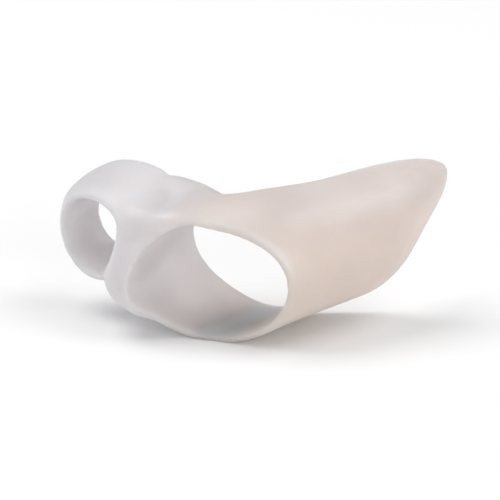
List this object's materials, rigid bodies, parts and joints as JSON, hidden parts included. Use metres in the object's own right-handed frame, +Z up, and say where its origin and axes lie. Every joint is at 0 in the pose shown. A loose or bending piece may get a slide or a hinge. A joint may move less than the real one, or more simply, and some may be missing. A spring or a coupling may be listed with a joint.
{
  "type": "gel bunion guard",
  "caption": "One-piece soft gel guard for a right foot: second-toe loop, toe spacer, big-toe loop and a tapered shield over the big toe's joint.",
  "frame": {"origin": "centre of the guard's box on the surface that its sole side rests on", "axes": "+Z up, -Y towards the toe tips, +X towards the inner side of a right foot, where the shield is"},
  "size_m": [0.059, 0.0566, 0.0286],
  "materials": {
    "gel": "milky translucent elastomer gel with a soft satin skin"
  },
  "bodies": {
    "root": {"gel_guard": "gel"}
  },
  "joints": []
}
